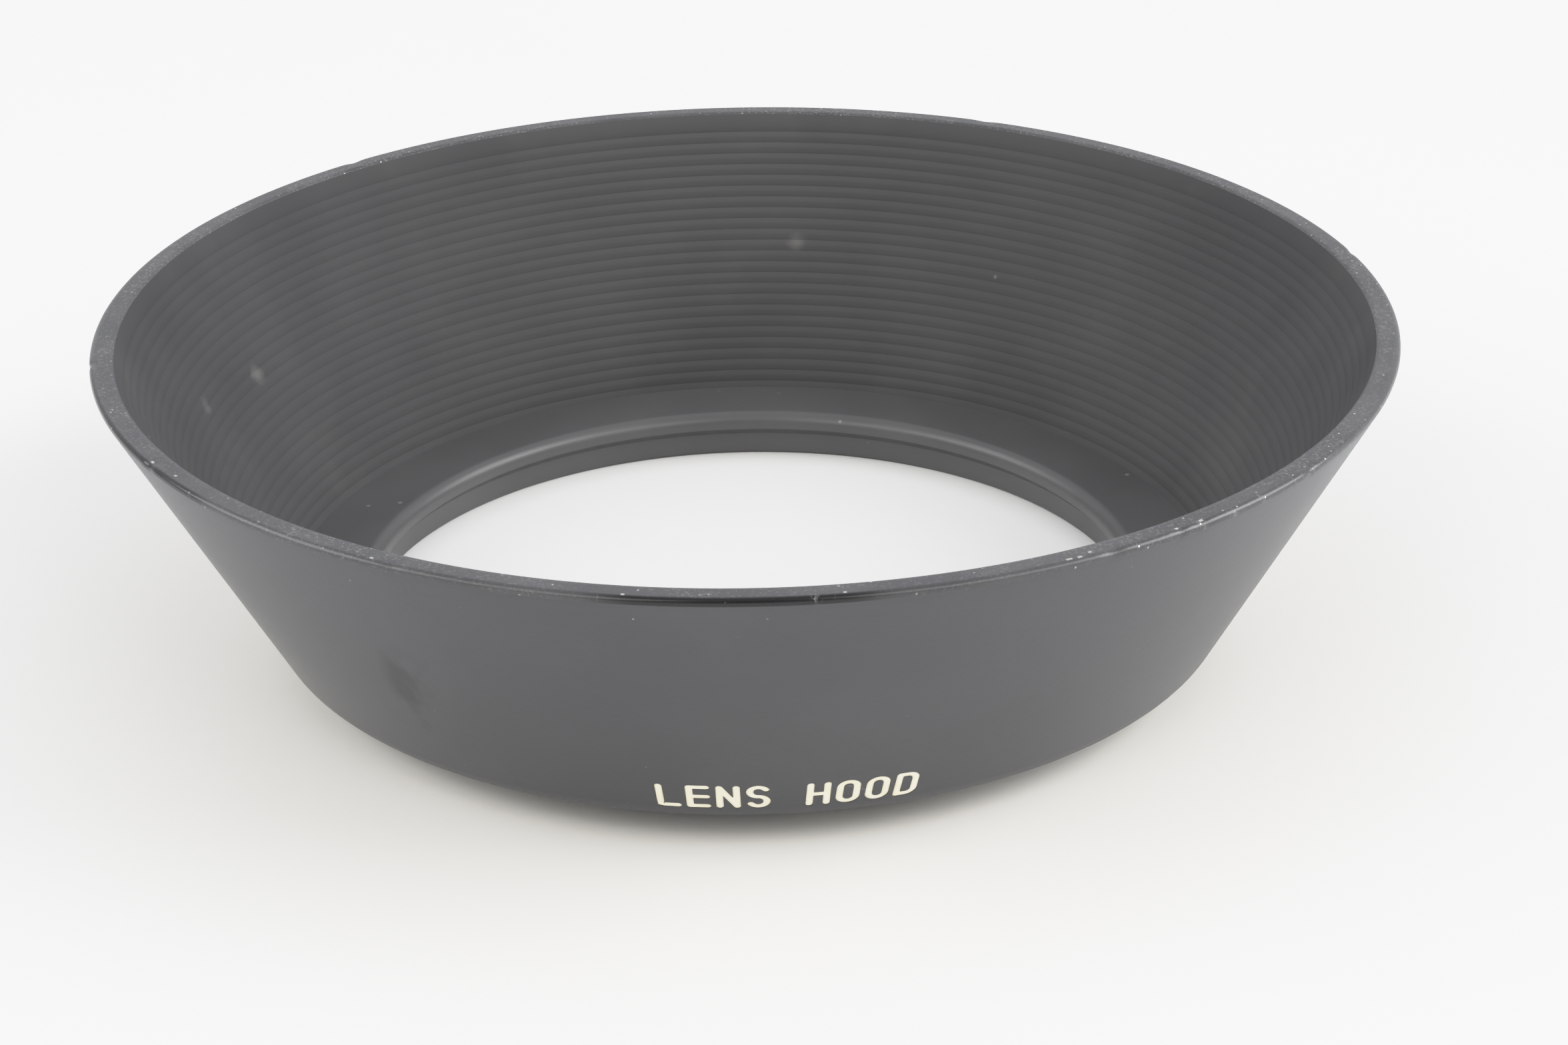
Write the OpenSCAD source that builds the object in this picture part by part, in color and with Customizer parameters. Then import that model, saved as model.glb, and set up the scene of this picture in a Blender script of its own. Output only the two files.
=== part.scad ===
// Screw-in conical lens hood for a wide-angle lens.
// A turned shell with fine light-trap grooves carries a flanged ring with a male filter thread.
// Origin: centre of the threaded collar's end, +Z towards the open mouth, millimetres.

/* [Shell] */
// outside diameter of the open mouth
mouth_d = 75.0; // [60:0.1:90]
// angle between the cone's side and its axis
half_angle = 28.2; // [10:0.1:40]
// height of the cone from its lower edge to the mouth
cone_h = 17.25; // [10:0.05:35]
// wall thickness measured square to the axis
wall = 1.5; // [1:0.05:3]
// radius of the rounded outer corner at the mouth
lip_round = 0.3; // [0.1:0.05:0.5]
// small bevel on the inner corner at the mouth
lip_bevel = 0.12; // [0.05:0.01:0.4]
// bevel on the cone's lower outer edge
base_bevel = 0.12; // [0.05:0.01:0.4]

/* [Light-trap grooves] */
// number of grooves turned in the inner wall
groove_count = 24; // [4:1:40]
// distance from groove to groove along the axis
groove_pitch = 0.65; // [0.4:0.01:2]
// groove depth measured square to the axis
groove_depth = 0.07; // [0.05:0.01:0.8]
// share of the pitch left as a flat crest
groove_crest = 0.2; // [0.1:0.05:0.6]

/* [Mount ring] */
// major diameter of the male thread
thread_d = 49.0; // [37:0.5:77]
// thread pitch
thread_pitch = 0.75; // [0.5:0.25:1.5]
// length of the threaded collar below the shoulder
collar_h = 2.25; // [1.5:0.05:6]
// diameter of the clear hole through the collar
collar_bore_d = 46.3; // [30:0.1:60]
// diameter of the clear hole at the rounded inner lip
lip_bore_d = 45.3; // [30:0.1:60]
// thickness of the flange
flange_t = 0.75; // [0.5:0.05:2]
// depth of the relief cut in the shoulder around the thread
relief_depth = 0.15; // [0.05:0.05:0.3]
// distance from the thread's crests to the relief cut's outer wall
relief_gap = 0.2; // [0.1:0.05:0.6]
// radial width of the rounded inner lip
nose_w = 0.75; // [0.3:0.05:1.5]
// height of the rounded inner lip below the flange's upper face
nose_h = 1.3; // [0.6:0.05:2]
// width of the shell's shoulder over the flange
seat_w = 0.4; // [0.2:0.05:0.8]

/* [Lettering] */
// height of the letters along the cone
letter_h = 2.2; // [1:0.1:5]
// width of a letter stroke
stroke = 0.4; // [0.15:0.05:0.8]
// depth of the engraving
engrave_depth = 0.2; // [0.05:0.01:0.5]
// how far the paint lies under the surface
paint_sink = 0.03; // [0:0.01:0.1]
// distance from letter centre to letter centre
letter_step = 1.58; // [1:0.01:4]
// direction of the middle of the lettering, counted from +X
letter_azimuth = -86.5; // [-180:0.5:180]
// height of the foot of the letters above the cone's lower edge
letter_foot = 0.62; // [0.3:0.01:5]

/* [Hidden] */

$fn = 96;
eps = 0.01;

total_h = collar_h + cone_h;
// growth of the radius per millimetre of height
flare = tan(half_angle);
// from the sharp corner in to the centre of its rounding, and out to its widest point
round_inset = lip_round * (flare + 1 / cos(half_angle));
corner_r = mouth_d / 2 + round_inset - lip_round;
base_r = corner_r - flare * cone_h;

flange_top = collar_h + flange_t;
floor_r = outer_r(flange_top) - wall;
rebate_r = floor_r + seat_w;
// the first groove starts one narrow crest above the flange
groove_z0 = flange_top + groove_pitch * groove_crest;

thread_r = thread_d / 2;
// depth of an external 60 degree thread
thread_depth = 0.6134 * thread_pitch;
thread_root_r = thread_r - thread_depth;
thread_turns = floor(collar_h / thread_pitch + eps);
// half width of a flat thread crest, an eighth of the pitch in all
crest_half = thread_pitch / 16;
edge_break = 0.15;

bore_r = collar_bore_d / 2;
nose_r = lip_bore_d / 2;
round_steps = 6;

letter_w = 1.3;
letter_gap_w = letter_w - stroke;
letter_bow = (letter_h - stroke) / 4;
letter_reach = 1.0;
black = [0.06, 0.06, 0.065];
ring_black = [0.09, 0.09, 0.095];
cream = [0.91, 0.87, 0.72];

function outer_r(z) = base_r + flare * (z - collar_h);
function inner_r(z) = outer_r(z) - wall;

// inner wall from the flange to the mouth, a zigzag of V grooves and flat crests
groove_points = [
    for (i = [0 : groove_count - 1])
        let (z = groove_z0 + i * groove_pitch, open = groove_pitch * (1 - groove_crest))
            for (p = [
                [inner_r(z), z],
                [inner_r(z + open / 2) + groove_depth, z + open / 2],
                [inner_r(z + open), z + open]
            ]) p
];

// rounded outer corner at the mouth, from the cone to the front face
lip_points = [
    for (i = [0 : round_steps])
        let (a = -half_angle + (90 + half_angle) * i / round_steps,
             c = corner_r - round_inset)
            [c + lip_round * cos(a), total_h - lip_round + lip_round * sin(a)]
];

// rounded inner lip of the mount ring, from the flange's upper face down to its nose
nose_points = [
    for (i = [0 : round_steps])
        let (a = 90 + 90 * i / round_steps)
            [nose_r + nose_w + nose_w * cos(a), flange_top - nose_w + nose_w * sin(a)]
];

// one crest of the male thread, from root to root
function thread_points(i) =
    let (mid = (i + 0.5) * thread_pitch, half = thread_pitch / 2 - eps) [
        [thread_root_r, mid - half],
        [thread_r, mid - crest_half],
        [thread_r, mid + crest_half],
        [thread_root_r, mid + half]
    ];

collar_points = [for (i = [0 : thread_turns - 1]) for (p = thread_points(i)) p];

module shell_body() {
    rotate_extrude()
        polygon(concat(
            [[rebate_r, collar_h],
             [base_r - base_bevel, collar_h],
             [outer_r(collar_h + base_bevel), collar_h + base_bevel]],
            lip_points,
            [[inner_r(total_h) + lip_bevel, total_h],
             [inner_r(total_h - lip_bevel), total_h - lip_bevel]],
            [for (i = [len(groove_points) - 1 : -1 : 0]) groove_points[i]],
            [[floor_r, flange_top], [rebate_r, flange_top]]
        ));
}

// a straight stroke with round ends, cut or filled from the surface down
module bar(a, b, low, high) {
    run = b - a;
    angle = atan2(run[1], run[0]);
    translate([a[0], a[1], low])
        rotate([0, 0, angle])
            translate([0, -stroke / 2, 0])
                cube([norm(run), stroke, high - low]);
    for (p = [a, b])
        translate([p[0], p[1], low])
            cylinder(d = stroke, h = high - low, $fn = 24);
}

// a bowed stroke about a centre, between two angles
module bow(c, r, from, to, low, high) {
    translate([c[0], c[1], low])
        rotate([0, 0, from])
            rotate_extrude(angle = to - from)
                translate([r - stroke / 2, 0])
                    square([stroke, high - low]);
    for (a = [from, to])
        translate([c[0] + r * cos(a), c[1] + r * sin(a), low])
            cylinder(d = stroke, h = high - low, $fn = 24);
}

// letters, drawn from the foot line up and centred on x = 0
module glyph(name, low, high) {
    x = letter_gap_w / 2;
    foot = stroke / 2;
    top = letter_h - stroke / 2;
    mid = letter_h / 2;
    if (name == "L") {
        bar([-x, top], [-x, foot], low, high);
        bar([-x, foot], [x, foot], low, high);
    }
    if (name == "E") {
        bar([-x, top], [-x, foot], low, high);
        for (y = [foot, mid, top]) bar([-x, y], [x, y], low, high);
    }
    if (name == "N") {
        bar([-x, top], [-x, foot], low, high);
        bar([-x, top], [x, foot], low, high);
        bar([x, top], [x, foot], low, high);
    }
    if (name == "H") {
        bar([-x, top], [-x, foot], low, high);
        bar([x, top], [x, foot], low, high);
        bar([-x, mid], [x, mid], low, high);
    }
    if (name == "O") {
        bow([0, top - x], x, 0, 180, low, high);
        bow([0, foot + x], x, 180, 360, low, high);
        for (s = [-x, x]) bar([s, top - x], [s, foot + x], low, high);
    }
    if (name == "D") {
        bar([-x, top], [-x, foot], low, high);
        bar([-x, top], [0, top], low, high);
        bar([-x, foot], [0, foot], low, high);
        bow([0, top - x], x, 0, 90, low, high);
        bow([0, foot + x], x, -90, 0, low, high);
        bar([x, top - x], [x, foot + x], low, high);
    }
    if (name == "S") {
        bow([0, mid + letter_bow], letter_bow, 30, 270, low, high);
        bow([0, mid - letter_bow], letter_bow, -150, 90, low, high);
    }
}

LETTERS = ["L", "E", "N", "S", "", "H", "O", "O", "D"];

// the whole line of letters, each one flat on the cone at its own azimuth
module lettering(low, high) {
    for (i = [0 : len(LETTERS) - 1]) {
        z = collar_h + letter_foot;
        r = outer_r(z);
        turn = letter_step / (r + flare * letter_h / 2) * 180 / PI;
        rotate([0, 0, letter_azimuth + (i - (len(LETTERS) - 1) / 2) * turn])
            translate([r, 0, z])
                rotate([0, half_angle, 0])
                    rotate([90, 0, 90])
                        glyph(LETTERS[i], low, high);
    }
}

// turned conical shell: smooth outside, grooved inside, rebated below for the mount ring
module hood_shell() {
    color(black)
        difference() {
            shell_body();
            lettering(-engrave_depth, letter_reach);
        }
}

// flanged ring: floor of the hood, rounded inner lip and male filter thread
module mount_ring() {
    color(ring_black)
        rotate_extrude()
            polygon(concat(
                [[bore_r + edge_break, 0], [thread_root_r - edge_break, 0]],
                collar_points,
                [[thread_root_r, collar_h + relief_depth],
                 [thread_r + relief_gap, collar_h + relief_depth],
                 [thread_r + relief_gap, collar_h],
                 [rebate_r, collar_h],
                 [rebate_r, flange_top]],
                nose_points,
                [[nose_r, flange_top - nose_h + (bore_r - nose_r) / 2],
                 [bore_r, flange_top - nose_h - (bore_r - nose_r) / 2],
                 [bore_r, edge_break]]
            ));
}

// paint laid in the engraved letters, a little under the surface
module lettering_fill() {
    color(cream)
        lettering(-engrave_depth, -paint_sink);
}

hood_shell();
mount_ring();
lettering_fill();
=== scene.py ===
"""A black screw-in lens hood on a pale table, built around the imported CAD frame."""
import math

import bmesh
import bpy
from mathutils import Matrix, Vector


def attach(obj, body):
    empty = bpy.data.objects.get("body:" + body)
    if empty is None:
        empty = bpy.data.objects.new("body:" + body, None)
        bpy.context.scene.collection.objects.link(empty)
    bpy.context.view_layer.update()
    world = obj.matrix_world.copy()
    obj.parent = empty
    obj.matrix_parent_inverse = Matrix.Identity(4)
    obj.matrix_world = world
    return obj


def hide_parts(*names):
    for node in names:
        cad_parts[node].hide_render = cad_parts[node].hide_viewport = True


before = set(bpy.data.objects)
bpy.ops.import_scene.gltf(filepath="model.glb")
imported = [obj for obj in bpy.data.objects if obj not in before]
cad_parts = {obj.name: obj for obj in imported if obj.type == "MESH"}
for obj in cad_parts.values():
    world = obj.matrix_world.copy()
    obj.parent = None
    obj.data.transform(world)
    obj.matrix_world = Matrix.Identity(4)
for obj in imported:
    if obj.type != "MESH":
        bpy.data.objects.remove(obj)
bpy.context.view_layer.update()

# Sizes in millimetres, as in the CAD source.
MM = 0.001
COLLAR_H = 2.25
CONE_H = 17.25
TOTAL_H = COLLAR_H + CONE_H
HALF_ANGLE = math.radians(28.2)
FLARE = math.tan(HALF_ANGLE)
MOUTH_R = 37.496        # just inside the CAD's faceted edge
LIP_ROUND = 0.3
LIP_BEVEL = 0.12
BASE_BEVEL = 0.12
ROUND_INSET = LIP_ROUND * (FLARE + 1 / math.cos(HALF_ANGLE))
CORNER_R = MOUTH_R + ROUND_INSET - LIP_ROUND    # where the cone would reach the mouth with no round
BASE_R = CORNER_R - FLARE * CONE_H
WALL = 1.5
GROOVE_COUNT, GROOVE_PITCH, GROOVE_DEPTH, GROOVE_CREST = 24, 0.65, 0.07, 0.2
FLANGE_TOP = COLLAR_H + 0.75
FLOOR_R = BASE_R + FLARE * 0.75 - WALL
REBATE_R = FLOOR_R + 0.4
GROOVE_Z0 = FLANGE_TOP + GROOVE_PITCH * GROOVE_CREST
GROOVE_SOFT = 0.035      # rounding along the wall at a groove's edges and root
CREST_DROP, ROOT_RISE = 0.006, 0.012    # what the rounding takes off a crest's edges and a root
THREAD_R, THREAD_PITCH, THREAD_DEPTH, THREAD_TURNS = 24.5, 0.75, 0.46, 3
THREAD_ROOT_R = THREAD_R - THREAD_DEPTH
BORE_R, NOSE_R, NOSE_W, NOSE_H = 23.15, 22.65, 0.75, 1.3
RELIEF_GAP, RELIEF_DEPTH = 0.2, 0.15
CHAMFER = 0.15           # at the collar's end, inside and out
EDGE_BREAK = 0.04        # on the flange's edges
LETTER_H, LETTER_W, STROKE, LETTER_STEP = 2.2, 0.9, 0.4, 1.58
LETTER_AZIMUTH, LETTER_FOOT = -86.5, 0.62
ENGRAVE_DEPTH = 0.14
SEGMENTS, RING_SEGMENTS = 960, 720
SHARP, STROKE_SHARP = 32.0, 50.0        # degrees between faces from which an edge is drawn sharp


def outer_r(z):
    return BASE_R + FLARE * (z - COLLAR_H)


def inner_r(z):
    return outer_r(z) - WALL


def polar(r, azimuth, z):
    """A point from its radius, its azimuth in degrees and its height."""
    a = math.radians(azimuth)
    return r * math.cos(a), r * math.sin(a), z


# ---------------------------------------------------------------- mesh makers

def arc(centre, radius, start, stop, steps):
    """Points on an arc in the r-z plane, angles in degrees, both ends included."""
    out = []
    for i in range(steps + 1):
        a = math.radians(start + (stop - start) * i / steps)
        out.append((centre[0] + radius * math.cos(a), centre[1] + radius * math.sin(a)))
    return out


def rows(a, b, count):
    """Points from a to b, with both ends left out."""
    return [(a[0] + (b[0] - a[0]) * i / count, a[1] + (b[1] - a[1]) * i / count)
            for i in range(1, count)]


def finish_mesh(name, verts, faces, mats, face_mats=None, sharp=SHARP):
    """A new smooth-shaded object from points and faces, with edges over sharp degrees kept hard."""
    mesh = bpy.data.meshes.new(name)
    mesh.from_pydata(verts, [], faces)
    for m in mats:
        mesh.materials.append(m)
    if face_mats:
        mesh.polygons.foreach_set("material_index", face_mats)
    mesh.validate()
    mesh.shade_smooth()
    mesh.set_sharp_from_angle(angle=math.radians(sharp))
    mesh.update()
    obj = bpy.data.objects.new(name, mesh)
    bpy.context.collection.objects.link(obj)
    return obj


def lathe(name, bands, mats, segments=SEGMENTS, warp=None):
    """Turns a closed outline round Z. bands is a list of (points, material number), all in order
    round the outline."""
    points, slots = [], []
    for band, slot in bands:
        for p in band:
            points.append(p)
            slots.append(slot)
    count = len(points)
    verts, faces, face_mats = [], [], []
    for s in range(segments):
        a = 2 * math.pi * s / segments
        ca, sa = math.cos(a), math.sin(a)
        for r, z in points:
            if warp:
                r, z = warp(r, z, math.degrees(a))
            verts.append((r * ca * MM, r * sa * MM, z * MM))
    for s in range(segments):
        base, nxt = s * count, ((s + 1) % segments) * count
        for i in range(count):
            j = (i + 1) % count
            faces.append((base + i, nxt + i, nxt + j, base + j))
            face_mats.append(slots[i])
    return finish_mesh(name, verts, faces, mats, face_mats)


# ---------------------------------------------------------------- materials

class Nodes:
    """A small helper that adds nodes to one material."""

    def __init__(self, name):
        self.mat = bpy.data.materials.new(name)
        self.mat.use_nodes = True
        self.tree = self.mat.node_tree
        self.tree.nodes.clear()
        self.out = self.tree.nodes.new("ShaderNodeOutputMaterial")
        self.bsdf = self.tree.nodes.new("ShaderNodeBsdfPrincipled")
        self.tree.links.new(self.bsdf.outputs[0], self.out.inputs["Surface"])
        self.coord = self.tree.nodes.new("ShaderNodeTexCoord").outputs["Object"]
        split = self.tree.nodes.new("ShaderNodeSeparateXYZ")
        self.tree.links.new(self.coord, split.inputs[0])
        self.x, self.y, self.z = split.outputs

    def put(self, socket, value):
        if hasattr(value, "is_linked"):
            self.tree.links.new(value, socket)
        else:
            socket.default_value = value

    def math(self, op, a, b=0.0, c=0.0, clamp=False):
        n = self.tree.nodes.new("ShaderNodeMath")
        n.operation, n.use_clamp = op, clamp
        for socket, value in zip(n.inputs, (a, b, c)):
            self.put(socket, value)
        return n.outputs[0]

    def ramp(self, value, low, high, to_low=0.0, to_high=1.0, smooth=True):
        n = self.tree.nodes.new("ShaderNodeMapRange")
        n.interpolation_type = "SMOOTHSTEP" if smooth else "LINEAR"
        for socket, v in zip(n.inputs, (value, low, high, to_low, to_high)):
            self.put(socket, v)
        return n.outputs[0]

    def scaled(self, factors):
        n = self.tree.nodes.new("ShaderNodeVectorMath")
        n.operation = "MULTIPLY"
        self.put(n.inputs[0], self.coord)
        n.inputs[1].default_value = factors
        return n.outputs[0]

    def noise(self, scale, detail=3.0, rough=0.5, vector=None):
        n = self.tree.nodes.new("ShaderNodeTexNoise")
        self.put(n.inputs["Vector"], vector or self.coord)
        n.inputs["Scale"].default_value = scale
        n.inputs["Detail"].default_value = detail
        n.inputs["Roughness"].default_value = rough
        return n.outputs[0]

    def specks(self, scale, size, share):
        """Small round specks: about share of the cells of a Voronoi pattern have one."""
        n = self.tree.nodes.new("ShaderNodeTexVoronoi")
        self.put(n.inputs["Vector"], self.coord)
        n.inputs["Scale"].default_value = scale
        pick = self.tree.nodes.new("ShaderNodeSeparateColor")
        self.tree.links.new(n.outputs["Color"], pick.inputs[0])
        near = self.ramp(n.outputs["Distance"], size * 0.6, size, 1.0, 0.0)
        chosen = self.math("LESS_THAN", pick.outputs[0], share)
        size_varies = self.ramp(pick.outputs[1], 0.0, 1.0, 0.3, 1.0, smooth=False)
        return self.math("MULTIPLY", self.math("MULTIPLY", near, chosen), size_varies)

    def radius(self):
        xx = self.math("MULTIPLY", self.x, self.x)
        yy = self.math("MULTIPLY", self.y, self.y)
        return self.math("SQRT", self.math("ADD", xx, yy))

    def mix(self, factor, a, b):
        n = self.tree.nodes.new("ShaderNodeMix")
        n.data_type = "RGBA"
        self.put(n.inputs[0], factor)
        self.put(n.inputs[6], a)
        self.put(n.inputs[7], b)
        return n.outputs[2]

    def bump(self, height, distance, strength=1.0, normal=None):
        n = self.tree.nodes.new("ShaderNodeBump")
        n.inputs["Strength"].default_value = strength
        n.inputs["Distance"].default_value = distance
        self.put(n.inputs["Height"], height)
        if normal:
            self.put(n.inputs["Normal"], normal)
        return n.outputs[0]

    def finish(self, colour, rough, normal=None, metallic=0.0):
        self.put(self.bsdf.inputs["Base Color"], colour)
        self.put(self.bsdf.inputs["Roughness"], rough)
        self.put(self.bsdf.inputs["Metallic"], metallic)
        if normal:
            self.put(self.bsdf.inputs["Normal"], normal)
        return self.mat


def rgb(r, g, b):
    return (r, g, b, 1.0)


DUST = rgb(0.42, 0.41, 0.39)
BARE = rgb(0.62, 0.6, 0.57)
# painted reflection colour: the near-black laid on the mouth's corner for a dark reflection
PAINTED_REFLECTION_BLACK = rgb(0.012, 0.012, 0.013)


def scratch(n, at, along, across, length, width):
    """A short straight line on the surface round the point at, in millimetres, with soft ends."""
    move = n.tree.nodes.new("ShaderNodeVectorMath")
    move.operation = "SUBTRACT"
    n.put(move.inputs[0], n.coord)
    move.inputs[1].default_value = Vector(at) * MM
    spans = []
    for direction in (along, across):
        dot = n.tree.nodes.new("ShaderNodeVectorMath")
        dot.operation = "DOT_PRODUCT"
        n.put(dot.inputs[0], move.outputs[0])
        dot.inputs[1].default_value = direction
        spans.append(n.math("ABSOLUTE", dot.outputs["Value"]))
    in_length = n.ramp(spans[0], length * MM * 0.35, length * MM * 0.5, 1.0, 0.0)
    in_width = n.ramp(spans[1], width * MM * 0.2, width * MM * 0.5, 1.0, 0.0)
    return n.math("MULTIPLY", in_length, in_width)


def soft_spot(n, at, size):
    """A soft round mark round the point at, in millimetres, broken up a little."""
    away = n.tree.nodes.new("ShaderNodeVectorMath")
    away.operation = "DISTANCE"
    n.put(away.inputs[0], n.coord)
    away.inputs[1].default_value = Vector(at) * MM
    ragged = n.math("MULTIPLY_ADD", n.noise(1500.0, 3.0, 0.6), size * MM * 0.5, away.outputs["Value"])
    return n.ramp(ragged, size * MM * 0.3, size * MM * 0.9, 1.0, 0.0)


def outer_black():
    """Satin black anodising on the outer cone: blotches, fine grain, dust, a smudge and a scratch."""
    n = Nodes("anodised_outer")
    blotch = n.noise(55.0, 4.0, 0.55)
    grain = n.noise(2600.0, 2.0, 0.6)
    turned = n.noise(1.0, 3.0, 0.6, n.scaled((60.0, 60.0, 9000.0)))
    colour = n.mix(n.ramp(blotch, 0.3, 0.7), rgb(0.063, 0.064, 0.073), rgb(0.077, 0.078, 0.088))
    colour = n.mix(n.math("MULTIPLY", grain, 0.35), colour, rgb(0.054, 0.055, 0.058))
    # a rubbed, slightly darker smudge left of the middle
    smudge = n.noise(1.0, 3.0, 0.55, n.scaled((420.0, 420.0, 160.0)))
    place = n.ramp(n.x, -0.0196, -0.0184)
    place = n.math("MULTIPLY", place, n.ramp(n.x, -0.0176, -0.0160, 1.0, 0.0))
    place = n.math("MULTIPLY", place, n.ramp(n.z, 0.005, 0.007))
    place = n.math("MULTIPLY", place, n.ramp(n.z, 0.011, 0.014, 1.0, 0.0))
    smudge = n.math("MULTIPLY", n.ramp(smudge, 0.46, 0.68), place)
    colour = n.mix(n.math("MULTIPLY", smudge, 0.3), colour, rgb(0.03, 0.031, 0.034))
    # fine dust everywhere, and more chips just under the mouth
    dust = n.specks(900.0, 0.05, 0.16)
    near_lip = n.ramp(n.z, 0.0155, 0.0188)
    chips = n.math("MULTIPLY", n.specks(1400.0, 0.1, 0.12), near_lip)
    dots = n.math("MAXIMUM", n.math("MULTIPLY", dust, 0.35), n.math("MULTIPLY", chips, 0.8))
    colour = n.mix(dots, colour, DUST)
    # a fine slanting scratch beside the lettering
    scratch_z, scratch_turn = 4.1, 7.0
    point = polar(outer_r(scratch_z), LETTER_AZIMUTH + scratch_turn, scratch_z)
    line = scratch(n, point, (0.86, 0.1, -0.5), (0.5, 0.0, 0.86), 1.3, 0.12)
    colour = n.mix(n.math("MULTIPLY", line, 0.3), colour, rgb(0.3, 0.28, 0.27))
    rough = n.ramp(blotch, 0.25, 0.75, 0.29, 0.36)
    rough = n.math("ADD", rough, n.math("MULTIPLY", smudge, 0.1))
    normal = n.bump(grain, 0.00002, 0.25)
    normal = n.bump(turned, 0.00001, 0.2, normal)
    return n.finish(colour, rough, normal)


# bare chips on the mouth's rim: azimuth in degrees, then distance inside the mouth's edge and
# length in millimetres
CHIPS = [(-65.2, 0.3, 0.4), (-64.3, 0.28, 0.3), (-63.2, 0.5, 0.22), (-55.1, 0.35, 0.25), (-52.6, 0.3, 0.3),
         (-147.2, 0.35, 0.3), (-143.5, 0.5, 0.22), (-120.0, 0.3, 0.25), (-99.5, 0.28, 0.22),
         (-83.0, 0.3, 0.2)]
CHIP_SINK, CHIP_WIDTH = 0.04, 0.2       # how far a chip's middle lies below the rim, and its width


def rim_black():
    """The mouth's flat face and rounded corner: gritty satin, bare metal showing along the corner, and a
    painted dark reflection on the corner in front.
    """
    n = Nodes("anodised_rim")
    r = n.radius()
    blotch = n.noise(160.0, 4.0, 0.6)
    streak = n.noise(1.0, 4.0, 0.65, n.scaled((900.0, 900.0, 300.0)))
    corner_out = (MOUTH_R - 0.12) * MM
    corner = n.ramp(r, (MOUTH_R - 0.55) * MM, corner_out)
    colour = n.mix(n.ramp(blotch, 0.35, 0.7), rgb(0.068, 0.068, 0.073), rgb(0.095, 0.094, 0.1))
    # fine pale grit, thicker in some places
    grit = n.ramp(n.noise(7000.0, 3.0, 0.7), 0.5, 0.7)
    grit = n.math("MULTIPLY", grit, n.ramp(n.noise(120.0, 3.0, 0.6), 0.35, 0.65, 0.25, 1.0))
    colour = n.mix(n.math("MULTIPLY", grit, 0.5), colour, rgb(0.33, 0.325, 0.32))
    colour = n.mix(n.math("MULTIPLY", corner, 0.5), colour, rgb(0.06, 0.06, 0.063))
    # painted reflection: the corner is painted near-black in two stretches, in front and at the left,
    # standing for a dark reflection, and is made less rough there
    painted_reflection = n.math("MULTIPLY", n.ramp(n.x, -0.0085, -0.0055), n.ramp(n.x, 0.0045, 0.0075, 1.0, 0.0))
    painted_reflection = n.math("MAXIMUM", painted_reflection, n.ramp(n.x, -0.0288, -0.0272, 0.75, 0.0))
    painted_reflection = n.math("MULTIPLY", painted_reflection, n.ramp(n.y, -0.009, -0.003, 1.0, 0.0))
    painted_reflection = n.math("MULTIPLY", painted_reflection, n.ramp(r, (MOUTH_R - 0.28) * MM, corner_out))
    colour = n.mix(n.math("MULTIPLY", painted_reflection, 0.9), colour, PAINTED_REFLECTION_BLACK)
    # bare metal: rubbed streaks on the corner, nicks in patches, the chips, and tiny specks all over
    worn = n.ramp(streak, 0.6, 0.72)
    patches = n.ramp(n.noise(70.0, 2.0, 0.5), 0.5, 0.62)
    worn = n.math("MULTIPLY", n.math("MULTIPLY", n.math("MULTIPLY", worn, patches), corner), 0.45)
    nicks = n.math("MULTIPLY", n.specks(1900.0, 0.2, 0.12), patches)
    for azimuth, inset, length in CHIPS:
        out = Vector((math.cos(math.radians(azimuth)), math.sin(math.radians(azimuth)), 0.0))
        at = polar(MOUTH_R - inset, azimuth, TOTAL_H - CHIP_SINK)
        chip = scratch(n, at, (-out.y, out.x, 0.0), out, length, CHIP_WIDTH)
        nicks = n.math("MAXIMUM", nicks, chip)
    tiny = n.specks(2400.0, 0.19, 0.22)
    bare = n.math("MAXIMUM", n.math("MAXIMUM", worn, nicks), tiny, clamp=True)
    colour = n.mix(n.math("MULTIPLY", bare, 0.85), colour, BARE)
    rough = n.ramp(corner, 0.0, 1.0, 0.42, 0.27)
    rough = n.math("SUBTRACT", rough, n.math("MULTIPLY", painted_reflection, 0.12))
    rough = n.math("ADD", rough, n.math("MULTIPLY", n.ramp(blotch, 0.3, 0.7), 0.08))
    metallic = n.math("MULTIPLY", bare, 0.7)
    normal = n.bump(n.noise(2600.0, 2.0, 0.6), 0.00002, 0.25)
    normal = n.bump(n.math("SUBTRACT", 1.0, bare), 0.00004, 0.7, normal)
    return n.finish(colour, rough, normal, metallic)


# faint dust marks inside the cone: azimuth in degrees, height and width in millimetres, strength
DUST_SPOTS = [(83.7, 11.7, 1.2, 0.15), (161.0, 11.6, 1.3, 0.17), (174.0, 12.6, 1.1, 0.11)]


def inner_black():
    """The grooved inner wall: flat black, with a thin haze and some dust."""
    n = Nodes("anodised_inner")
    blotch = n.noise(45.0, 4.0, 0.6)
    grain = n.noise(2200.0, 2.0, 0.6)
    colour = n.mix(n.ramp(blotch, 0.3, 0.7), rgb(0.076, 0.076, 0.079), rgb(0.093, 0.093, 0.096))
    haze = n.math("MULTIPLY", n.ramp(n.noise(120.0, 3.0, 0.6), 0.55, 0.75), 0.12)
    colour = n.mix(haze, colour, rgb(0.14, 0.138, 0.13))
    dust = n.specks(420.0, 0.09, 0.07)
    colour = n.mix(n.math("MULTIPLY", dust, 0.4), colour, DUST)
    for azimuth, z, size, strength in DUST_SPOTS:
        spot = soft_spot(n, polar(inner_r(z), azimuth, z), size)
        colour = n.mix(n.math("MULTIPLY", spot, strength), colour, DUST)
    rough = n.ramp(blotch, 0.25, 0.75, 0.74, 0.86)
    n.bsdf.inputs["Specular IOR Level"].default_value = 0.08
    normal = n.bump(grain, 0.00003, 0.3)
    return n.finish(colour, rough, normal)


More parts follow.
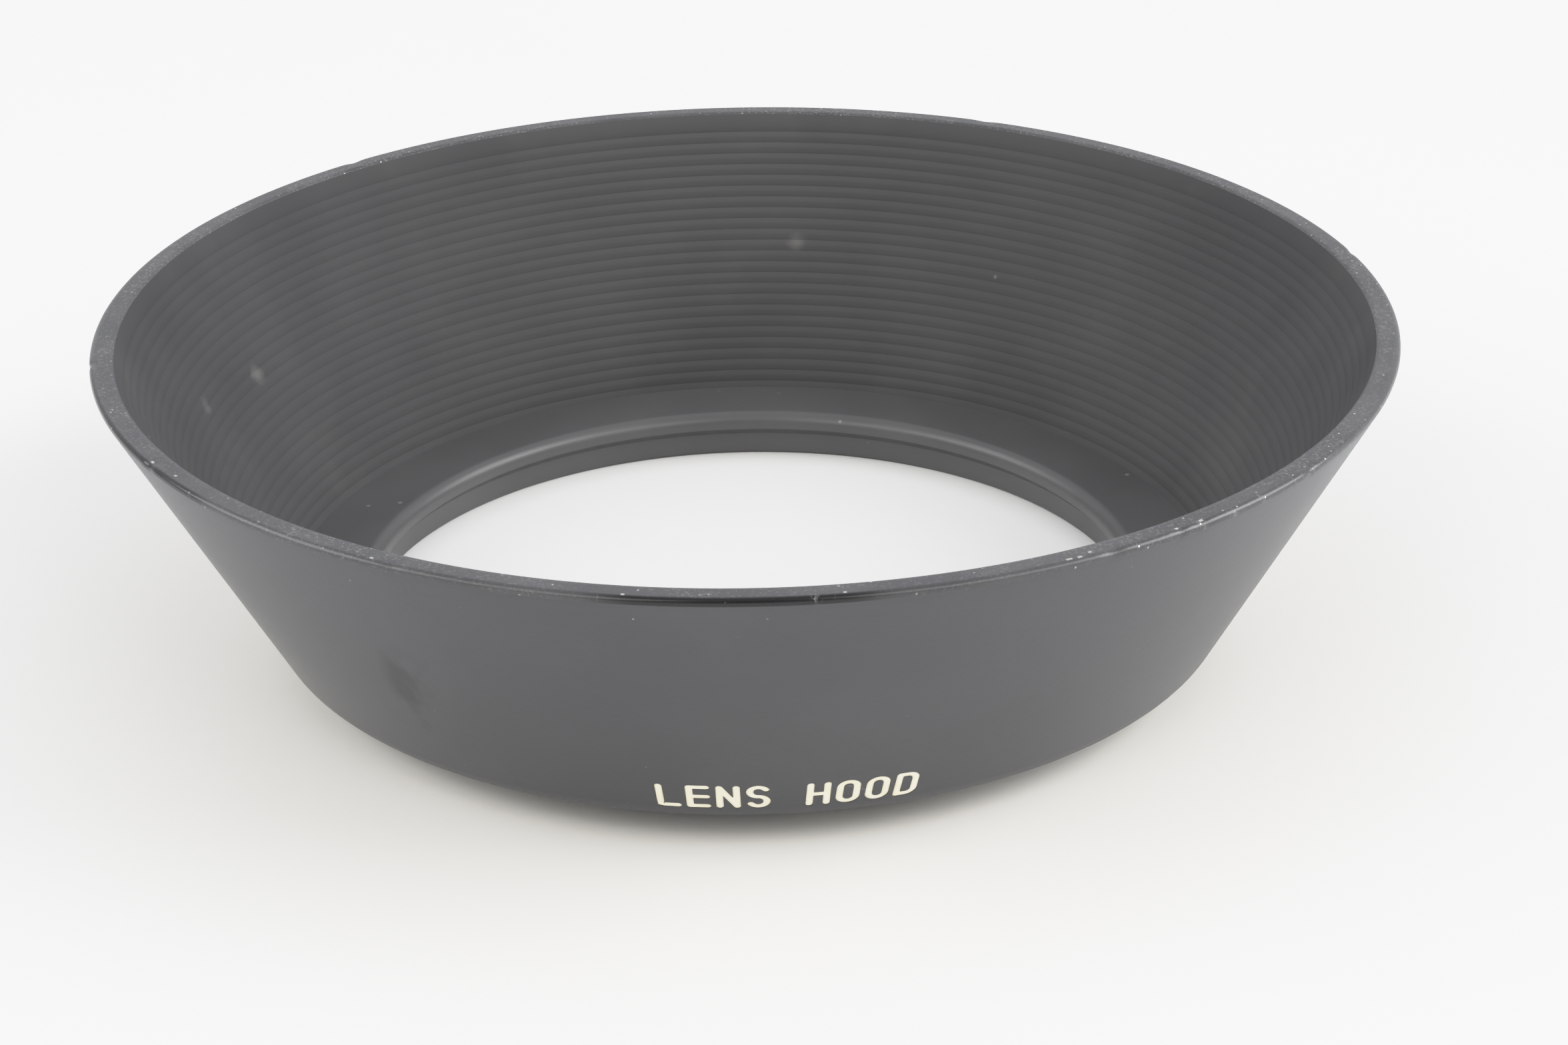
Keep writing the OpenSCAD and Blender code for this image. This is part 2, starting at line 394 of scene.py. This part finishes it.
def ring_black():
    """The mount ring: smoother semi-gloss black, with rubbed thread crests and fine turning marks."""
    n = Nodes("anodised_ring")
    r = n.radius()
    blotch = n.noise(60.0, 4.0, 0.55)
    grain = n.noise(2600.0, 2.0, 0.6)
    colour = n.mix(n.ramp(blotch, 0.3, 0.7), rgb(0.095, 0.095, 0.098), rgb(0.112, 0.112, 0.115))
    low = n.ramp(n.z, (COLLAR_H - 0.2) * MM, COLLAR_H * MM, 1.0, 0.0)
    crest = n.ramp(r, (THREAD_R - 0.09) * MM, (THREAD_R - 0.01) * MM)
    uneven = n.ramp(n.noise(300.0, 4.0, 0.65), 0.42, 0.6)
    rub = n.math("MULTIPLY", n.math("MULTIPLY", crest, low), uneven)
    dust = n.specks(500.0, 0.09, 0.08)
    colour = n.mix(n.math("MULTIPLY", dust, 0.35), colour, DUST)
    colour = n.mix(n.math("MULTIPLY", rub, 0.8), colour, BARE)
    rough = n.ramp(blotch, 0.25, 0.75, 0.33, 0.42)
    metallic = n.math("MULTIPLY", rub, 0.7)
    # turning marks about 0.15 mm apart
    rings = n.math("SINE", n.math("MULTIPLY", r, 42000.0))
    normal = n.bump(grain, 0.00002, 0.25)
    normal = n.bump(rings, 0.000004, 0.25, normal)
    return n.finish(colour, rough, normal, metallic)


def cream_paint():
    """Old cream enamel laid in the engraving, a little uneven in tone, with specks of dirt."""
    n = Nodes("cream_enamel")
    tone = n.noise(700.0, 4.0, 0.6)
    colour = n.mix(n.ramp(tone, 0.3, 0.7), rgb(0.86, 0.80, 0.60), rgb(0.93, 0.88, 0.71))
    dirt = n.specks(2600.0, 0.16, 0.08)
    colour = n.mix(n.math("MULTIPLY", dirt, 0.5), colour, rgb(0.3, 0.27, 0.2))
    rough = n.ramp(tone, 0.3, 0.7, 0.32, 0.48)
    normal = n.bump(n.noise(1800.0, 3.0, 0.5), 0.00003, 0.5)
    return n.finish(colour, rough, normal)


def table_white():
    """Pale matt paper on the table: a faint mottle and a very fine tooth."""
    n = Nodes("table_paper")
    mottle = n.noise(14.0, 4.0, 0.55)
    fibre = n.noise(900.0, 4.0, 0.6)
    colour = n.mix(n.ramp(mottle, 0.3, 0.7), rgb(0.885, 0.885, 0.88), rgb(0.905, 0.905, 0.902))
    colour = n.mix(n.math("MULTIPLY", n.ramp(fibre, 0.35, 0.7), 0.25), colour, rgb(0.87, 0.868, 0.86))
    # painted warm bounce light: the paper is tinted warmer in a ring round the hood's foot, where the
    # hood's shade falls
    r = n.radius()
    foot = n.math("MULTIPLY", n.ramp(r, 0.023, 0.027), n.ramp(r, 0.030, 0.052, 1.0, 0.0))
    colour = n.mix(n.math("MULTIPLY", foot, 0.7), colour, rgb(0.89, 0.865, 0.815))
    rough = n.ramp(mottle, 0.3, 0.7, 0.5, 0.62)
    normal = n.bump(fibre, 0.00005, 0.3)
    return n.finish(colour, rough, normal)


# the shell's materials by number
MAT_OUTER, MAT_RIM, MAT_INNER = 0, 1, 2
shell_mats = [outer_black(), rim_black(), inner_black()]
ring_mat = ring_black()
paint_mat = cream_paint()

# ---------------------------------------------------------------- lettering strokes

BAR_STEPS, CAP_STEPS, PAINT_STEPS = 6, 8, 6
CUTTER_TOP = 0.5         # how far the cutter stands out of the surface


def bar(a, b):
    return [(a[0] + (b[0] - a[0]) * i / BAR_STEPS, a[1] + (b[1] - a[1]) * i / BAR_STEPS)
            for i in range(BAR_STEPS + 1)]


def bow(centre, radius, start, stop):
    steps = max(8, round(abs(stop - start) / 8))
    return arc(centre, radius, start, stop, steps)


def glyph(letter):
    """The centre lines of one letter's strokes, foot at y = 0, centred on x = 0."""
    x, foot, top, mid = LETTER_W / 2, STROKE / 2, LETTER_H - STROKE / 2, LETTER_H / 2
    small = (LETTER_H - STROKE) / 4
    left, right = bar((-x, top), (-x, foot)), bar((x, top), (x, foot))
    return {
        "L": [left[:-1] + bar((-x, foot), (x, foot))],
        "E": [left] + [bar((-x, y), (x, y)) for y in (foot, mid, top)],
        "N": [left, bar((-x, top), (x, foot)), right],
        "H": [left, right, bar((-x, mid), (x, mid))],
        "O": [bow((0, top - x), x, 0, 180), bow((0, foot + x), x, 180, 360),
              bar((x, top - x), (x, foot + x)), bar((-x, top - x), (-x, foot + x))],
        "D": [left, bar((-x, top), (0, top)), bar((-x, foot), (0, foot)), bow((0, top - x), x, 0, 90),
              bow((0, foot + x), x, -90, 0), bar((x, top - x), (x, foot + x))],
        "S": [bow((0, mid + small), small, 30, 270), bow((0, mid - small), small, -150, 90)],
    }[letter]


def letter_places():
    """A list of (letter, matrix from the letter's plane to the cone's surface), in millimetres."""
    z = COLLAR_H + LETTER_FOOT
    r = outer_r(z)
    turn = math.degrees(LETTER_STEP / (r + FLARE * LETTER_H / 2))
    word = "LENS HOOD"
    flat = Matrix(((0, 0, 1, 0), (1, 0, 0, 0), (0, 1, 0, 0), (0, 0, 0, 1)))
    places = []
    for i, letter in enumerate(word):
        if letter == " ":
            continue
        a = math.radians(LETTER_AZIMUTH + (i - (len(word) - 1) / 2) * turn)
        out = Matrix.Rotation(a, 4, "Z") @ Matrix.Translation((r, 0, z))
        places.append((letter, out @ Matrix.Rotation(HALF_ANGLE, 4, "Y") @ flat))
    return places


def stroke_mesh(path, half, layers, place):
    """A closed round-ended stroke. layers is a list of (share of the half width, height), from the
    middle of the top to the middle of the bottom."""
    count = len(path)
    ring = []
    tangents = []
    for i in range(count):
        a, b = Vector(path[max(i - 1, 0)]), Vector(path[min(i + 1, count - 1)])
        tangents.append((b - a).normalized())
    for i in range(count):
        ring.append((Vector(path[i]), Vector((-tangents[i].y, tangents[i].x))))
    heading = math.atan2(tangents[-1].y, tangents[-1].x)
    for k in range(1, CAP_STEPS):
        a = heading + math.pi / 2 - math.pi * k / CAP_STEPS
        ring.append((Vector(path[-1]), Vector((math.cos(a), math.sin(a)))))
    for i in range(count - 1, -1, -1):
        ring.append((Vector(path[i]), Vector((tangents[i].y, -tangents[i].x))))
    heading = math.atan2(tangents[0].y, tangents[0].x)
    for k in range(1, CAP_STEPS):
        a = heading - math.pi / 2 - math.pi * k / CAP_STEPS
        ring.append((Vector(path[0]), Vector((math.cos(a), math.sin(a)))))
    verts, faces = [], []
    size = len(ring)
    for share, height in layers:
        for centre, side in ring:
            p = centre + side * half * share
            verts.append(place @ Vector((p.x, p.y, height)) * MM)
    for k in range(len(layers) - 1):
        for i in range(size):
            j = (i + 1) % size
            faces.append((k * size + i, (k + 1) * size + i, (k + 1) * size + j, k * size + j))
    return verts, faces


def weld(obj):
    """Merges the doubled points on a stroke's centre line and makes its faces look outwards."""
    bm = bmesh.new()
    bm.from_mesh(obj.data)
    bmesh.ops.remove_doubles(bm, verts=bm.verts, dist=1e-7)
    bmesh.ops.dissolve_degenerate(bm, dist=1e-7, edges=bm.edges)
    bmesh.ops.recalc_face_normals(bm, faces=bm.faces)
    bm.to_mesh(obj.data)
    bm.free()


def apply_modifiers(obj):
    graph = bpy.context.evaluated_depsgraph_get()
    mesh = bpy.data.meshes.new_from_object(obj.evaluated_get(graph), depsgraph=graph)
    obj.modifiers.clear()
    old, name = obj.data, obj.data.name
    obj.data = mesh
    bpy.data.meshes.remove(old)
    mesh.name = name


def boolean(obj, other, operation):
    mod = obj.modifiers.new("cut", "BOOLEAN")
    mod.operation, mod.object, mod.solver = operation, other, "MANIFOLD"
    apply_modifiers(obj)


def drop(obj):
    mesh = obj.data
    bpy.data.objects.remove(obj)
    bpy.data.meshes.remove(mesh)


FLOOR_LAYERS = [(1.0, -ENGRAVE_DEPTH), (0.0, -ENGRAVE_DEPTH)]
CUT_LAYERS = [(0.0, CUTTER_TOP), (1.0, CUTTER_TOP)] + FLOOR_LAYERS
# the paint's top lies just under the surface and sags towards its edge
PAINT_TOP, PAINT_SAG = -0.012, 0.035
PAINT_LAYERS = [(k / PAINT_STEPS, PAINT_TOP - PAINT_SAG * (k / PAINT_STEPS) ** 3)
                for k in range(PAINT_STEPS + 1)] + FLOOR_LAYERS


def build_letters():
    """Returns (the paint, the cutter for the recess)."""
    paint, cutter = None, None
    for letter, place in letter_places():
        for path in glyph(letter):
            verts, faces = stroke_mesh(path, STROKE / 2, PAINT_LAYERS, place)
            fill = finish_mesh("stroke", verts, faces, [paint_mat], sharp=STROKE_SHARP)
            weld(fill)
            verts, faces = stroke_mesh(path, STROKE / 2, CUT_LAYERS, place)
            tool = finish_mesh("tool", verts, faces, shell_mats)
            weld(tool)
            if paint is None:
                paint, cutter = fill, tool
            else:
                boolean(paint, fill, "UNION")
                boolean(cutter, tool, "UNION")
                drop(fill)
                drop(tool)
    paint.name = paint.data.name = "lettering_paint"
    paint.data.shade_smooth()
    paint.data.set_sharp_from_angle(angle=math.radians(STROKE_SHARP))
    return paint, cutter


# ---------------------------------------------------------------- hood shell

# small dents along the mouth's outer corner: azimuth in degrees, half width and depth in millimetres
DENTS = [(-61.5, 0.5, 0.10), (-55.0, 0.35, 0.08), (-52.8, 0.6, 0.07), (-39.0, 0.4, 0.09),
         (-118.0, 0.5, 0.06), (-147.0, 0.45, 0.09), (-170.0, 0.4, 0.06), (12.0, 0.5, 0.07),
         (64.0, 0.6, 0.06), (133.0, 0.5, 0.08)]
# dents reach this far in and down from the mouth's edge, and are at full depth after the fade
DENT_IN, DENT_DOWN, FADE_IN, FADE_DOWN = 0.9, 0.6, 0.7, 0.3
DENT_SLANT = 0.7         # a dent goes in and down alike, each by this share of its depth


def dent(r, z, azimuth):
    """Pushes a point near the mouth's outer corner in and down where there is a dent."""
    inward, upward = r - (MOUTH_R - DENT_IN), z - (TOTAL_H - DENT_DOWN)
    if upward < 0 or inward < 0:
        return r, z
    weight = min(1.0, inward / FADE_IN) * min(1.0, upward / FADE_DOWN)
    for at, half, depth in DENTS:
        off = (azimuth - at + 180) % 360 - 180
        arc_mm = math.radians(off) * MOUTH_R
        if abs(arc_mm) < 3 * half:
            push = depth * math.exp(-(arc_mm / half) ** 2) * weight * DENT_SLANT
            r, z = r - push, z - push
    return r, z


def groove_outline():
    """The grooved wall from the mouth down to the floor, with softened edges and roots."""
    out = []
    open_h, soft = GROOVE_PITCH * (1 - GROOVE_CREST), GROOVE_SOFT
    for i in range(GROOVE_COUNT - 1, -1, -1):
        low = GROOVE_Z0 + i * GROOVE_PITCH
        mid, high = low + open_h / 2, low + open_h
        root = inner_r(mid) + GROOVE_DEPTH - ROOT_RISE
        out += [(inner_r(high + soft), high + soft),
                (inner_r(high) + CREST_DROP, high - soft * 0.3),
                (root, mid + soft),
                (root, mid - soft),
                (inner_r(low) + CREST_DROP, low + soft * 0.3),
                (inner_r(low - soft), low - soft)]
    return out


def build_shell(cutter):
    """The turned shell, with the letter recesses cut out of it."""
    lip_centre = (CORNER_R - ROUND_INSET, TOTAL_H - LIP_ROUND)
    rebate_break, bevel_mid = 0.05, 0.03
    foot = [(REBATE_R + rebate_break, COLLAR_H), (BASE_R - BASE_BEVEL, COLLAR_H),
            (BASE_R - bevel_mid, COLLAR_H + bevel_mid)]
    cone_low = (outer_r(COLLAR_H + BASE_BEVEL), COLLAR_H + BASE_BEVEL)
    lip = arc(lip_centre, LIP_ROUND, -math.degrees(HALF_ANGLE), 90, 14)
    face_out, face_in = lip[-1], (inner_r(TOTAL_H) + LIP_BEVEL, TOTAL_H)
    cone = [cone_low] + rows(cone_low, lip[0], 34)
    bevel = [(inner_r(TOTAL_H) + 0.04, TOTAL_H - 0.035),
             (inner_r(TOTAL_H - LIP_BEVEL), TOTAL_H - LIP_BEVEL)]
    rebate = [(FLOOR_R, FLANGE_TOP), (REBATE_R, FLANGE_TOP), (REBATE_R, COLLAR_H + rebate_break)]
    bands = [
        (foot, MAT_OUTER),
        (cone, MAT_OUTER),
        (lip + rows(face_out, face_in, 4) + [face_in] + bevel[:1], MAT_RIM),
        (bevel[1:] + groove_outline(), MAT_INNER),
        (rebate, MAT_INNER),
    ]
    shell = lathe("hood_shell_turned", bands, shell_mats, warp=dent)
    boolean(shell, cutter, "DIFFERENCE")
    shell.data.shade_smooth()
    shell.data.set_sharp_from_angle(angle=math.radians(SHARP))
    return shell


# ---------------------------------------------------------------- mount ring

def thread_outline():
    """The male thread from the collar's end up to the shoulder."""
    out = []
    half_crest, half_root = THREAD_PITCH / 16, THREAD_PITCH / 2 - 0.05
    soft, root_r = 0.02, THREAD_ROOT_R + 0.01
    for i in range(THREAD_TURNS):
        mid = (i + 0.5) * THREAD_PITCH
        out += [(root_r, mid - half_root),
                (THREAD_R - soft, mid - half_crest - soft),
                (THREAD_R, mid - half_crest * 0.5),
                (THREAD_R, mid + half_crest * 0.5),
                (THREAD_R - soft, mid + half_crest + soft),
                (root_r, mid + half_root)]
    return out


def build_ring():
    """The turned mount ring, from the collar's end out over the thread and back in over the flange."""
    end_in, end_out = (BORE_R + CHAMFER, 0.0), (THREAD_ROOT_R - CHAMFER, 0.0)
    relief_r, relief_z, relief_break = THREAD_R + RELIEF_GAP, COLLAR_H + RELIEF_DEPTH, 0.03
    relief = [(THREAD_ROOT_R, relief_z), (relief_r, relief_z), (relief_r, COLLAR_H + relief_break),
              (relief_r + relief_break, COLLAR_H)]
    shoulder_out = (REBATE_R - EDGE_BREAK, COLLAR_H)
    ledge_out, ledge_in = (REBATE_R - EDGE_BREAK, FLANGE_TOP), (NOSE_R + NOSE_W, FLANGE_TOP)
    flange = [shoulder_out, (REBATE_R, COLLAR_H + EDGE_BREAK), (REBATE_R, FLANGE_TOP - EDGE_BREAK),
              ledge_out]
    nose = arc((NOSE_R + NOSE_W, FLANGE_TOP - NOSE_W), NOSE_W, 90, 180, 16)
    # a 45 degree step from the inner lip out to the collar's bore
    step = (BORE_R - NOSE_R) / 2
    bore_top, bore_low = (BORE_R, FLANGE_TOP - NOSE_H - step), (BORE_R, CHAMFER)
    outline = ([end_in] + rows(end_in, end_out, 3) + [end_out] + thread_outline() + relief
               + rows(relief[-1], shoulder_out, 6) + flange + rows(ledge_out, ledge_in, 12) + nose
               + [(NOSE_R, FLANGE_TOP - NOSE_H + step), bore_top] + rows(bore_top, bore_low, 4)
               + [bore_low])
    return lathe("mount_ring_turned", [(outline, 0)], [ring_mat], segments=RING_SEGMENTS)


paint, cutter = build_letters()
shell = build_shell(cutter)
drop(cutter)
ring = build_ring()
for piece, node, slot in ((shell, "hood_shell", "shell_black"),
                          (ring, "mount_ring", "ring_black"),
                          (paint, "lettering_fill", "cream_paint")):
    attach(piece, "root")
    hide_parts(node)

# ---------------------------------------------------------------- table, light and camera

# metres
TABLE_HALF, TABLE_DROP, TABLE_STEPS = 1.5, 0.00002, 12
TENT_WHITE, CAMERA_DARK = rgb(0.96, 0.98, 1.0), rgb(0.04, 0.04, 0.045)
# the tent's strength in front and at the back, and the cosines between which it grows
WORLD_STRENGTH, WALL_STRENGTH = 0.42, 0.85
WALL_FROM, WALL_TO = 0.2, 0.95
# the cosines between which the tent darkens towards the camera
DARK_FROM, DARK_TO = 0.93, 0.972
NEUTRAL, WARM = (1.0, 1.0, 1.0), (1.0, 0.98, 0.93)
SOFTBOX_W, SOFTBOX_H = 0.6, 0.5
# name, place in metres, power in watts, colour
SOFTBOXES = [("left_softbox", (-0.7, -0.05, 0.4), 3.3, NEUTRAL),
             ("right_softbox", (0.7, -0.05, 0.4), 5.3, NEUTRAL),
             ("front_left_softbox", (-0.45, -0.6, 0.5), 2.15, WARM),
             ("front_right_softbox", (0.45, -0.6, 0.5), 2.15, WARM)]
# scene brightness against shown brightness, so that the white table stays just short of clipping
SHOULDER_WHITE, SHOULDER_TOP = 1.6, 0.98
SHOULDER = [(0.13, 0.13), (0.4, 0.47), (0.6, 0.71), (0.9, 0.885), (1.15, 0.94)]


def build_table():
    """A flat sheet of paper, a hair below the hood so that the two don't flicker."""
    half, steps = TABLE_HALF, TABLE_STEPS
    marks = [-half + 2 * half * i / steps for i in range(steps + 1)]
    verts = [(x, y, 0.0) for x in marks for y in marks]
    faces = []
    for i in range(steps):
        for j in range(steps):
            a = i * (steps + 1) + j
            faces.append((a, a + steps + 1, a + steps + 2, a + 1))
    table = finish_mesh("table", verts, faces, [table_white()])
    table.location.z = -TABLE_DROP


def build_world():
    """A pale tent all round, with the dark shape of the camera and whoever stands behind it."""
    world = bpy.data.worlds.new("tent")
    bpy.context.scene.world = world
    world.use_nodes = True
    tree = world.node_tree
    tree.nodes.clear()
    out = tree.nodes.new("ShaderNodeOutputWorld")
    back = tree.nodes.new("ShaderNodeBackground")
    coord = tree.nodes.new("ShaderNodeTexCoord")

    def toward(direction):
        """The cosine of the angle from a direction."""
        dot = tree.nodes.new("ShaderNodeVectorMath")
        dot.operation = "DOT_PRODUCT"
        tree.links.new(coord.outputs["Generated"], dot.inputs[0])
        dot.inputs[1].default_value = Vector(direction).normalized()
        return dot.outputs["Value"]

    ramp = tree.nodes.new("ShaderNodeValToRGB")
    tree.links.new(toward((0.0, -0.87, 0.5)), ramp.inputs[0])
    light_end, dark_end = ramp.color_ramp.elements
    light_end.position, light_end.color = DARK_FROM, TENT_WHITE
    dark_end.position, dark_end.color = DARK_TO, CAMERA_DARK
    wall = tree.nodes.new("ShaderNodeMapRange")
    wall.interpolation_type = "SMOOTHSTEP"
    tree.links.new(toward((0.0, 0.9, 0.43)), wall.inputs[0])
    for socket, value in zip(wall.inputs[1:5], (WALL_FROM, WALL_TO, WORLD_STRENGTH, WALL_STRENGTH)):
        socket.default_value = value
    tree.links.new(ramp.outputs[0], back.inputs[0])
    tree.links.new(wall.outputs[0], back.inputs[1])
    tree.links.new(back.outputs[0], out.inputs[0])


def softbox(name, location, power, colour):
    """A rectangular area light aimed at the origin."""
    data = bpy.data.lights.new(name, "AREA")
    data.shape, data.size, data.size_y = "RECTANGLE", SOFTBOX_W, SOFTBOX_H
    data.energy, data.color = power, colour
    obj = bpy.data.objects.new(name, data)
    obj.location = location
    obj.rotation_euler = (-Vector(location)).to_track_quat("-Z", "Y").to_euler()
    bpy.context.collection.objects.link(obj)


# The camera's place and turn, from the photographed rims and the hood's own proportions.
CAM_DISTANCE, CAM_ELEVATION = 199.468, math.radians(26.264)
CAM_PAN, CAM_TILT, CAM_ROLL = -0.01048, 0.01587, 0.0182
CAM_AIM = Vector((0.0, 0.0, COLLAR_H))
SENSOR, LENS = 36.0, 75.986
CLIP_START, CLIP_END = 0.005, 20.0


def build_camera():
    """The camera in front of the hood, aimed at its lower edge and then turned by three small angles."""
    back = Vector((0.0, -math.cos(CAM_ELEVATION), math.sin(CAM_ELEVATION)))
    forward, right = -back, Vector((1.0, 0.0, 0.0))
    up = right.cross(forward)
    turn = Matrix.Rotation(CAM_PAN, 3, up)
    forward, right = turn @ forward, turn @ right
    turn = Matrix.Rotation(CAM_TILT, 3, right)
    forward, up = turn @ forward, turn @ up
    turn = Matrix.Rotation(CAM_ROLL, 3, forward)
    right, up = turn @ right, turn @ up
    data = bpy.data.cameras.new("camera")
    data.sensor_fit, data.sensor_width, data.lens = "HORIZONTAL", SENSOR, LENS
    data.clip_start, data.clip_end = CLIP_START, CLIP_END
    data.dof.use_dof = False
    cam = bpy.data.objects.new("camera", data)
    place = Matrix((right, up, -forward)).transposed().to_4x4()
    place.translation = (CAM_AIM + back * CAM_DISTANCE) * MM
    cam.matrix_world = place
    bpy.context.collection.objects.link(cam)
    bpy.context.scene.camera = cam


build_table()
build_world()
for box in SOFTBOXES:
    softbox(*box)
build_camera()
view = bpy.context.scene.view_settings
view.view_transform, view.look = "Standard", "None"
view.use_curve_mapping = True
curves = view.curve_mapping
curves.white_level = (SHOULDER_WHITE,) * 3
curve = curves.curves[3]        # the one for all three colours
for light, shown in SHOULDER:
    curve.points.new(light / SHOULDER_WHITE, shown)
curve.points[-1].location = (1.0, SHOULDER_TOP)
curves.update()
